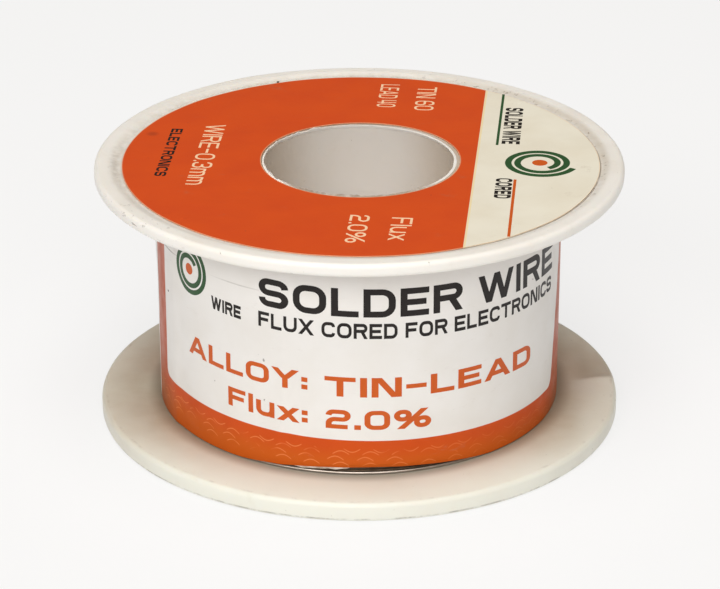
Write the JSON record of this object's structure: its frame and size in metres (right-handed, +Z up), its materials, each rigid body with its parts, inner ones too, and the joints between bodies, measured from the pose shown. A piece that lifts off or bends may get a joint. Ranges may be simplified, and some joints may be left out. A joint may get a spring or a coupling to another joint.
{
  "type": "solder wire spool",
  "caption": "Full spool of fine solder wire: pale plastic flanges on a bored hub, a paper label round the winding and a round paper label on the top face.",
  "frame": {"origin": "middle of the lower face, on the spindle axis: the point the spool stands on", "axes": "+Z up along the spindle bore, from the lower flange to the upper flange; the middle of the wrap label's print faces -Y"},
  "size_m": [0.055, 0.055, 0.028],
  "materials": {
    "spool_plastic": "satin",
    "solder_wire": "satin",
    "wrap_paper": "semi-gloss",
    "top_paper": "semi-gloss"
  },
  "bodies": {
    "root": {"upper_flange": "spool_plastic", "lower_flange": "spool_plastic", "hub_tube": "spool_plastic", "solder_winding": "solder_wire", "outer_turns": "solder_wire", "last_turn": "solder_wire", "wire_start": "solder_wire", "wrap_label": "wrap_paper", "top_label": "top_paper"}
  },
  "joints": []
}
